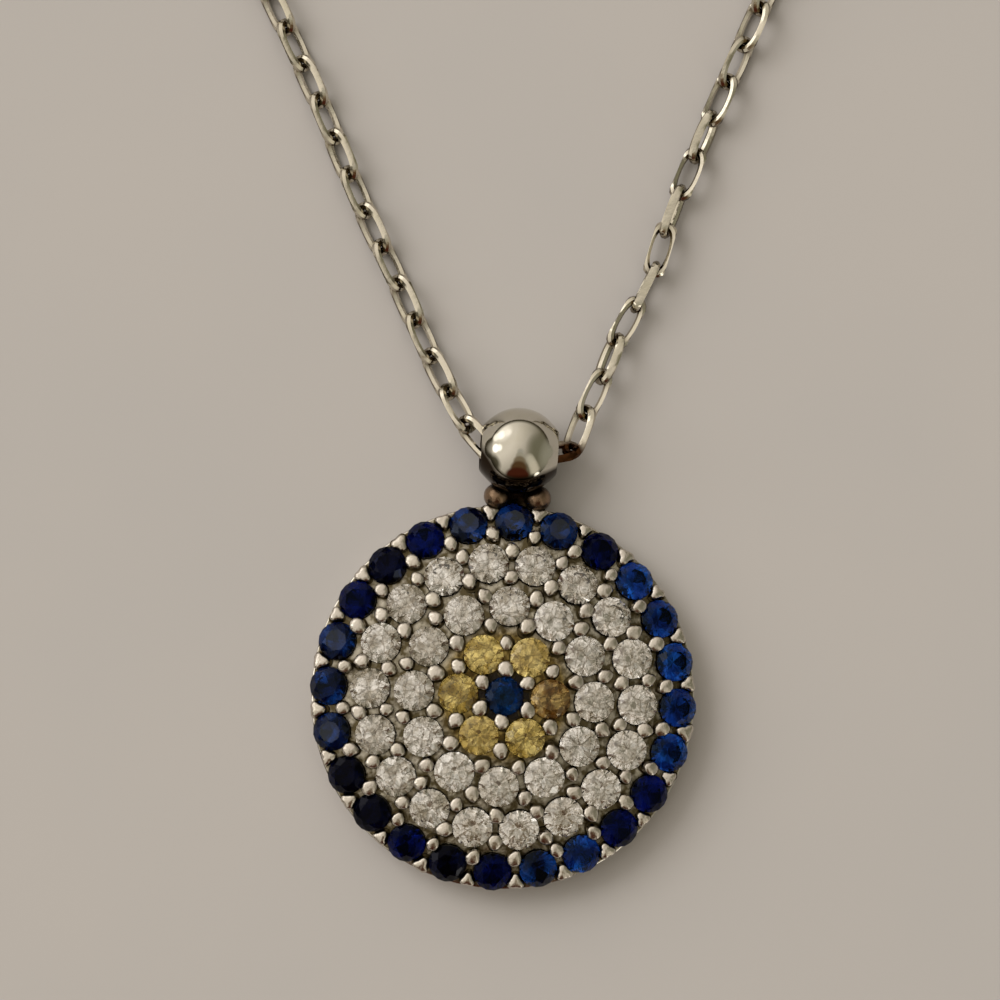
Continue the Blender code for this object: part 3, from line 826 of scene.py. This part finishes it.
def build_neck():
    """The two rounded knuckles that join the ball to the disc, and the low web between them, dark with
    tarnish and painted shade.
    """
    bm = bmesh.new()
    angles = [math.pi * k / KNUCKLE_STEPS for k in range(1, KNUCKLE_STEPS)]
    profile = [(0.0, -1.0), *((math.sin(angle), -math.cos(angle)) for angle in angles), (0.0, 1.0)]
    for side in (-1, 1):
        place = Vector((NECK_SHIFT + side * KNUCKLE_SPREAD, DISC_RADIUS + KNUCKLE_RISE, KNUCKLE_LEVEL))
        radii = Matrix.Diagonal((*KNUCKLE_RADII, 1.0))
        turned(bm, KNUCKLE_SIDES, profile, PENDANT @ Matrix.Translation(place) @ radii)
    add_web(bm)
    return piece("neck", bm, NECK_SILVER, sharp=60)


def squared(value):
    """A sine or cosine drawn a little towards one, for a squarish oval."""
    return math.copysign(abs(value) ** WEB_SQUARENESS, value)


def add_web(bm):
    """The closed oval form along the pendant through the web's rows."""
    first, last = NECK_WEB[0][0], NECK_WEB[-1][0]
    rings = []
    for step in range(WEB_STEPS + 1):
        y = first + (last - first) * step / WEB_STEPS
        middle, width, level, height = between(NECK_WEB, y)
        ring = []
        for k in range(WEB_SIDES):
            angle = 2 * math.pi * k / WEB_SIDES
            x = middle + width / 2 * squared(math.cos(angle))
            z = level + height / 2 * squared(math.sin(angle))
            ring.append(bm.verts.new(PENDANT @ Vector((x * MM, DISC_RADIUS + y * MM, z * MM))))
        rings.append(ring)
    tube(bm, rings)
    bm.faces.new(rings[0])
    bm.faces.new(rings[-1])


def between(rows, place):
    """The rows' values at this place, eased from row to row."""
    for first, second in zip(rows, rows[1:]):
        if place <= second[0]:
            share = (place - first[0]) / (second[0] - first[0])
            share = share * share * (3 - 2 * share)
            return [a + (b - a) * share for a, b in zip(first[1:], second[1:])]
    return rows[-1][1:]


# Stones


def build_stones():
    gems = {}
    for kind, table in STONE_KINDS:
        for name, colours in table.items():
            gems[name] = gem(name, *kind, *colours)
    bm = bmesh.new()
    for number, matrix in enumerate(stone_places("clear"), 1):
        made = len(bm.faces)
        brilliant(bm, matrix @ tilt_of(number - 1, CLEAR_LEAN))
        bm.faces.ensure_lookup_table()
        for face in bm.faces[made:]:
            face.material_index = 1 if number in LIGHT_CLEARS else 0
    stones = [(piece("clear_stones", bm, gems["clear_gem"], gems["light_clear_gem"]), "clear_stone")]
    for number, matrix in enumerate(stone_places("yellow"), 1):
        tint = "amber" if number == AMBER_STONE else "straw" if number in LIGHT_YELLOWS else "yellow"
        stone = single_stone(f"yellow_gem_{number}", matrix, number + 40, gems[f"{tint}_gem"])
        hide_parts(f"stone_yellow_{number}")
        stones.append((stone, "yellow_stone"))
    centre_gems = gems["blue_gem"], gems["royal_gem"], gems["teal_gem"]
    centre = single_stone("blue_gem_centre", on_dome(0.0, 0.0, GIRDLE_LIFT), 7, *centre_gems)
    # The centre stone: a darker teal copy on its table as painted dark reflection, and a brighter royal
    # copy as a painted highlight on the facets facing CENTRE_SIDE
    for face in centre.data.polygons:
        lit = face.normal.dot(Vector(CENTRE_SIDE).normalized()) > CENTRE_SQUARENESS
        face.material_index = 2 if face.index == TABLE_FACET else 1 if lit else 0
    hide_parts("stone_centre")
    stones.append((centre, "blue_stone"))
    for number, matrix in enumerate(stone_places("blue"), 1):
        tint = next((tint for tint, numbers in BLUE_TINTS.items() if number in numbers), "blue")
        stone_gems = gems[f"{tint}_gem"], gems["blue_painted_highlight"]
        stone = single_stone(f"blue_gem_{number:02d}", matrix, number + 60, *stone_gems)
        # A lighter copy of the blue as a painted highlight
        if number in BRIGHT_TABLES:
            stone.data.polygons[TABLE_FACET].material_index = 1
        if number in BRIGHT_SIDES:
            kite = FIRST_FACET + FOLD_FACETS * (number % BRILLIANT_FOLD) + KITE
            stone.data.polygons[kite].material_index = 1
        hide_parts(f"stone_blue_{number:02d}")
        stones.append((stone, "blue_stone"))
    return [stone for stone, _ in stones]


def tilt_of(number, most):
    """The slight lean of a hand-set stone, the same on each run."""
    lean = noise.noise_vector(Vector((number * 2.3, 7.7, 1.9)))
    return Matrix.Rotation(2 * most * lean.x, 4, "X") @ Matrix.Rotation(2 * most * lean.y, 4, "Y")


def single_stone(name, matrix, number, *gems):
    bm = bmesh.new()
    brilliant(bm, matrix @ tilt_of(number, COLOUR_LEAN))
    return piece(name, bm, *gems)


# Chain


def heading(side, lean):
    """The way that a strand's straight part runs."""
    return Vector((side * math.sin(lean), math.cos(lean), 0))


def smooth(points, steps):
    """Points of a curve through the given ones, however far apart, in steps between each two."""
    spans = [(end - start).length for start, end in zip(points, points[1:])]
    slopes = [(points[1] - points[0]) / spans[0]]
    for k in range(1, len(spans)):
        before = (points[k] - points[k - 1]) / spans[k - 1]
        after = (points[k + 1] - points[k]) / spans[k]
        slopes.append((before * spans[k] + after * spans[k - 1]) / (spans[k - 1] + spans[k]))
    slopes.append((points[-1] - points[-2]) / spans[-1])
    found = []
    for k, length in enumerate(spans):
        for step in range(steps):
            t = step / steps
            found.append(
                points[k]
                + (points[k + 1] - points[k]) * (3 * t**2 - 2 * t**3)
                + slopes[k] * length * (t**3 - 2 * t**2 + t)
                + slopes[k + 1] * length * (t**3 - t**2)
            )
    return [*found, points[-1]]


def loop_shape():
    """The meeting point of the strands' straight lines, half their angle, and the loop's round end."""
    half = (LEFT_LEAN + RIGHT_LEAN) / 2
    ends = []
    for side, lean, anchor in ((-1, LEFT_LEAN, LEFT_ANCHOR), (1, RIGHT_LEAN, RIGHT_ANCHOR)):
        ends.append((Vector((BALL_CENTRE.x, BALL_CENTRE.y, 0)) + anchor, heading(side, lean)))
    (first, way), (second, other) = ends
    apart = second - first
    share = (apart.x * other.y - apart.y * other.x) / (way.x * other.y - way.y * other.x)
    apex = first + way * share
    radius = NECKLACE_LENGTH / (2 / math.tan(half) + math.pi + 2 * half)
    middle = (way + other).normalized()
    return apex, half, radius, apex + middle * radius / math.sin(half), middle


APEX, HALF_ANGLE, LOOP_RADIUS, LOOP_CENTRE, MIDDLE = loop_shape()
LOOP_TOP = (
    Matrix.Translation(LOOP_CENTRE + MIDDLE * LOOP_RADIUS)
    @ Matrix.Rotation(math.atan2(-MIDDLE.x, MIDDLE.y), 4, "Z")
)
CLASP_LEVEL = JUMP_RING_RADIUS * math.sin(JUMP_RING_TILT) + JUMP_RING_WIRE / 2


def strand_line(side, lean, route, end):
    """Points of one strand's middle line, from inside the ball to its end joint at the clasp."""
    near = [Vector((BALL_CENTRE.x + side * x * MM, BALL_CENTRE.y + y * MM, z * MM)) for x, y, z in route]
    points = smooth(near, ROUTE_STEPS)
    tangent = APEX + heading(side, lean) * LOOP_RADIUS / math.tan(HALF_ANGLE)
    tangent.z = CHAIN_HEIGHT
    points.append(tangent)
    centre = Vector((LOOP_CENTRE.x, LOOP_CENTRE.y, CHAIN_HEIGHT))
    sweep = math.pi / 2 + HALF_ANGLE - math.asin(abs(end.x) / LOOP_RADIUS)
    for k in range(1, LOOP_STEPS):
        turn = Matrix.Rotation(side * sweep * k / LOOP_STEPS, 3, "Z")
        points.append(centre + turn @ (tangent - centre))
    return [*points, LOOP_TOP @ end]


def at(points, lengths, distance):
    """The point of a line at this distance from its start."""
    for k in range(1, len(points)):
        if lengths[k] >= distance:
            share = (distance - lengths[k - 1]) / (lengths[k] - lengths[k - 1])
            return points[k - 1].lerp(points[k], share)
    return points[-1].copy()


def measured(points):
    """How far along the line each of its points lies."""
    lengths = [0.0]
    for start, end in zip(points, points[1:]):
        lengths.append(lengths[-1] + (end - start).length)
    return lengths


def half_height(roll):
    """How high a link of this roll holds its joints: by its width, and by its cut near 45 degrees."""
    reach = abs(math.sin(math.radians(roll))) * (LINK_WIDTH - LINK_WIRE) / 2 + LINK_WIRE / 2
    return min(reach, LINK_CUT) if abs(abs(roll) % 90 - CUT_ROLL) < CUT_SPREAD else reach


def link_outline(angle):
    """A point of a link's middle line, which is a squarish oval along X."""
    c, s = math.cos(angle), math.sin(angle)
    power = 2 / LINK_SQUARENESS
    return Vector((
        math.copysign(abs(c) ** power, c) * (LINK_LENGTH - LINK_WIRE) / 2,
        math.copysign(abs(s) ** power, s) * (LINK_WIDTH - LINK_WIRE) / 2,
        0,
    ))


def link(bm, start, end, roll):
    """One diamond-cut link between two joints of the chain."""
    middle = (start + end) / 2
    along = (end - start).normalized()
    side = along.cross(UP).normalized()
    rise = side.cross(along)
    turn = math.radians(roll)
    rings = []
    for k in range(LINK_STEPS):
        angle = 2 * math.pi * (k + 0.5) / LINK_STEPS
        spot = link_outline(angle)
        tangent = (link_outline(angle + TANGENT_STEP) - link_outline(angle - TANGENT_STEP)).normalized()
        out = tangent.cross(UP)
        ring = []
        for step in range(LINK_WIRE_SIDES):
            around = 2 * math.pi * (step + 0.5) / LINK_WIRE_SIDES
            local = spot + (out * math.cos(around) + Vector((0, 0, math.sin(around)))) * LINK_WIRE / 2
            across = local.y * math.cos(turn) - local.z * math.sin(turn)
            above = local.y * math.sin(turn) + local.z * math.cos(turn)
            across = max(-LINK_CUT, min(LINK_CUT, across))
            above = max(-LINK_CUT, min(LINK_CUT, above))
            ring.append(bm.verts.new(middle + along * local.x + side * across + rise * above))
        rings.append(ring)
    tube(bm, rings, closed=True)


def measured_strands():
    """Each strand's points, how far along it they lie, and its first joint outside the ball."""
    eye = Vector((EYELET_X - EYELET_RADIUS + EYELET_WIRE / 2, 0, CLASP_LEVEL))
    ring_edge = Vector((JUMP_RING_X + JUMP_RING_RADIUS - JUMP_RING_WIRE / 2, 0, CLASP_LEVEL))
    strands = []
    for side, lean, route, end, first in (
        (-1, LEFT_LEAN, LEFT_ROUTE, eye, LEFT_JOINT),
        (1, RIGHT_LEAN, RIGHT_ROUTE, ring_edge, RIGHT_JOINT),
    ):
        points = strand_line(side, lean, route, end)
        lengths = measured(points)
        start = next(lengths[k] for k, p in enumerate(points) if k > 1 and p.y - BALL_CENTRE.y >= first)
        strands.append((points, lengths, start))
    return strands


def bail_joints(strands):
    """The joints inside the ball, from the left strand's first joint to the right one's."""
    left_start, right_start = strands[0][2], strands[1][2]
    step = (left_start + right_start) / LINKS_IN_BAIL
    joints = []
    for k in range(LINKS_IN_BAIL + 1):
        points, lengths, _ = strands[0] if k * step <= left_start else strands[1]
        joints.append(at(points, lengths, abs(left_start - k * step)))
    return joints


def strand_joints(points, lengths, start, pitch, rolls):
    """A strand's joints and the roll of each link between them."""
    count = round((lengths[-1] - start) / pitch)
    pitch = (lengths[-1] - start) / count
    all_rolls = [link_roll(rolls, k) for k in range(count)]
    spots = []
    for k in range(count + 1):
        spot = at(points, lengths, start + pitch * k)
        near = [half_height(all_rolls[j]) for j in (k - 1, k) if 0 <= j < count]
        spots.append(settled(spot, max(near)))
    for k in range(len(CLASP_EASE), 0, -1):
        spots[-1 - k].z += (CLASP_LEVEL - spots[-1 - k].z) * CLASP_EASE[k - 1]
    return spots, all_rolls


def build_chain():
    """Both strands link by link. The links inside the ball join them."""
    strands = measured_strands()
    inner = bail_joints(strands)
    made = []
    for side, strand, rolls, pitch in (
        ("left", strands[0], LEFT_ROLLS, LEFT_PITCH),
        ("right", strands[1], RIGHT_ROLLS, RIGHT_PITCH),
    ):
        spots, all_rolls = strand_joints(*strand, pitch, rolls)
        bm = bmesh.new()
        for start, end, roll in zip(spots, spots[1:], all_rolls):
            link(bm, start, end, roll)
        if side == "left":
            link(bm, inner[1], spots[0], BAIL_ROLLS[0])
            link(bm, inner[2], inner[1], BAIL_ROLLS[1])
        else:
            link(bm, inner[2], spots[0], BAIL_ROLLS[2])
        made.append(piece(f"chain_links_{side}", bm, CHAIN_SILVER, sharp=28))
        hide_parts(f"chain_{side}")
    return made


def link_roll(rolls, k):
    """The roll of a strand's link by its number."""
    if k < len(rolls):
        return rolls[k]
    base = CUT_ROLL if (rolls[-1] > 0) == ((k - len(rolls)) % 2 == 1) else -CUT_ROLL
    return base + ROLL_DRIFT * noise.noise(Vector((k * 1.31, rolls[0], 0.5)))


def settled(spot, low):
    """The joint brought down to rest on the surface, except where the chain climbs to the bail."""
    free = max(0.0, min(1.0, (BAIL_LEVEL - spot.z) / BAIL_FALL))
    return Vector((spot.x, spot.y, max(low, spot.z - JOINT_SINK * free)))


# Clasp


def torus(bm, radius, wire, sides, wire_sides, matrix):
    rings = []
    for k in range(sides):
        turn = Matrix.Rotation(2 * math.pi * k / sides, 4, "Z")
        upright = Matrix.Translation((radius, 0, 0)) @ Matrix.Rotation(math.pi / 2, 4, "X")
        rings.append(ring_of(bm, wire_sides, wire / 2, 0, matrix @ turn @ upright))
    tube(bm, rings, closed=True)


def build_clasp():
    """The ring clasp with its eyelet, and the tilted ring that it hooks into."""
    place = LOOP_TOP @ Matrix.Translation((0, 0, CLASP_LEVEL))
    bm = bmesh.new()
    torus(bm, CLASP_RADIUS, CLASP_WIRE, *CLASP_SIDES, place)
    torus(bm, EYELET_RADIUS, EYELET_WIRE, *EYELET_SIDES, place @ Matrix.Translation((EYELET_X, 0, 0)))
    clasp = piece("ring_clasp", bm, END_SILVER, sharp=60)
    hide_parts("clasp")
    bm = bmesh.new()
    tilted = Matrix.Translation((JUMP_RING_X, 0, CLASP_LEVEL)) @ Matrix.Rotation(JUMP_RING_TILT, 4, "X")
    torus(bm, JUMP_RING_RADIUS, JUMP_RING_WIRE, *JUMP_RING_SIDES, LOOP_TOP @ tilted)
    ring = piece("end_ring", bm, END_SILVER, sharp=60)
    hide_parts("jump_ring")
    return [clasp, ring]


# Studio

FLOOR_REACH = 6.0
# Azimuth and elevation of the room's bright side
BRIGHT_SIDE = (150, 25)
# Azimuth and elevation, inner and outer half angle, and light of the room's patches and windows
WORLD_PATCHES = (
    ((5, 36), 16, 40, (0.21, 0.20, 0.14)),
    ((133, 22), 10, 26, (1.50, 1.42, 1.30)),
    ((320, 56), 1, 14, (0.66, 0.62, 0.52)),
    ((317, 48), 1, 14, (0.70, 0.66, 0.55)),
    ((314, 40), 1, 14, (0.74, 0.69, 0.58)),
    ((312, 32), 1, 14, (0.76, 0.70, 0.58)),
    ((310, 24), 1, 14, (0.76, 0.70, 0.58)),
    ((308, 15), 1, 14, (0.76, 0.70, 0.58)),
    ((285, 84), 4, 11, (0.50, 0.48, 0.42)),
    ((270, 73), 8, 13, (0.46, 0.43, 0.35)),
    ((268, 58), 12, 18, (0.25, 0.20, 0.13)),
    ((267, 40), 16, 23, (0.11, 0.06, 0.026)),
    ((266, 16), 22, 29, (0.07, 0.017, 0.008)),
    ((205, 8), 10, 22, (0.10, 0.09, 0.06)),
)
WINDOWS = (
    ((350, 4), 12, 36, (0.36, 0.345, 0.28)),
    ((150, 14), 4, 11, (1.9, 1.82, 1.68)),
    ((140, 23), 6, 13, (2.2, 2.12, 1.98)),
    ((124, 31), 4, 12, (1.7, 1.62, 1.50)),
    ((175, 22), 6, 11, (2.9, 2.8, 2.65)),
    ((173, 33), 4, 10, (2.2, 2.12, 1.98)),
    ((307, 3), 3, 7, (3.2, 3.1, 2.8)),
)


def build_floor():
    bm = bmesh.new()
    corners = ((-1, -1), (1, -1), (1, 1), (-1, 1))
    bm.faces.new([bm.verts.new((FLOOR_REACH * x, FLOOR_REACH * y, 0)) for x, y in corners])
    piece("floor", bm, floor_material())


def direction(azimuth, elevation):
    """A unit vector: azimuth from +X towards +Y, elevation above the horizon, in degrees."""
    a, e = math.radians(azimuth), math.radians(elevation)
    return Vector((math.cos(a) * math.cos(e), math.sin(a) * math.cos(e), math.sin(e)))


def facing_share(tree, where, toward, low, high):
    """One where the room lies this way more squarely than high, and nought below low."""
    return span(tree, compared(tree, "DOT_PRODUCT", where, toward), 0.0, 1.0, low, high)


def with_patches(tree, where, colour, patches):
    """The room's light with these patches laid over it."""
    for place, inner, outer, light in patches:
        low, high = (math.cos(math.radians(angle)) for angle in (outer, inner))
        colour = mixed(tree, facing_share(tree, where, direction(*place), low, high), colour, light)
    return colour


def build_world():
    """A plain room, bright at the left and dark low down, with windows and a dark side."""
    world = bpy.data.worlds.new("room")
    bpy.context.scene.world = world
    world.use_nodes = True
    tree = world.node_tree
    where = here(tree, "Generated")
    lit = facing_share(tree, where, direction(*BRIGHT_SIDE), -0.25, 0.75)
    colour = mixed(tree, lit, (0.20, 0.18, 0.125), (1.00, 0.93, 0.82))
    colour = with_patches(tree, where, colour, WORLD_PATCHES)
    apart = tree.nodes.new("ShaderNodeSeparateXYZ")
    tree.links.new(where, apart.inputs["Vector"])
    low = span(tree, apart.outputs["Z"], 1.0, 0.0, 0.06, 0.22)
    colour = mixed(tree, low, colour, (0.06, 0.05, 0.03))
    colour = with_patches(tree, where, colour, WINDOWS)
    ray = tree.nodes.new("ShaderNodeLightPath")
    seen = mixed(tree, ray.outputs["Is Camera Ray"], colour, (0.50, 0.455, 0.405))
    tree.links.new(seen, tree.nodes["Background"].inputs["Color"])


def area_light(name, place, size, power, colour):
    data = bpy.data.lights.new(name, "AREA")
    data.shape = "RECTANGLE"
    data.size, data.size_y = size
    data.energy = power
    data.color = colour
    obj = bpy.data.objects.new(name, data)
    bpy.context.scene.collection.objects.link(obj)
    obj.location = place
    obj.rotation_euler = (FRAME_CENTRE - Vector(place)).to_track_quat("-Z", "Y").to_euler()
    obj.visible_glossy = False
    obj.visible_transmission = False


def build_camera():
    data = bpy.data.cameras.new("camera")
    data.sensor_width = 36.0
    data.lens = data.sensor_width * CAMERA_DISTANCE / FRAME_WIDTH
    data.clip_start, data.clip_end = 0.01, 20.0
    camera = bpy.data.objects.new("camera", data)
    bpy.context.scene.collection.objects.link(camera)
    lean = math.sin(CAMERA_TILT)
    back = Vector((math.cos(CAMERA_SIDE) * lean, math.sin(CAMERA_SIDE) * lean, math.cos(CAMERA_TILT)))
    camera.location = FRAME_CENTRE + back * CAMERA_DISTANCE
    camera.rotation_mode = "QUATERNION"
    camera.rotation_quaternion = UP.rotation_difference(back)
    bpy.context.scene.camera = camera


disc = build_disc()
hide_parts("pave_setting")
metal = [disc, build_prongs(), build_ball(), build_neck(), *build_chain(), *build_clasp()]
for obj in metal + build_stones():
    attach(obj, "root")

build_floor()
build_world()
area_light("window", place=(-0.48, 0.33, 0.50), size=(0.40, 0.40), power=2.1, colour=(1.0, 0.97, 0.93))
build_camera()
bpy.context.scene.view_settings.view_transform = "Standard"
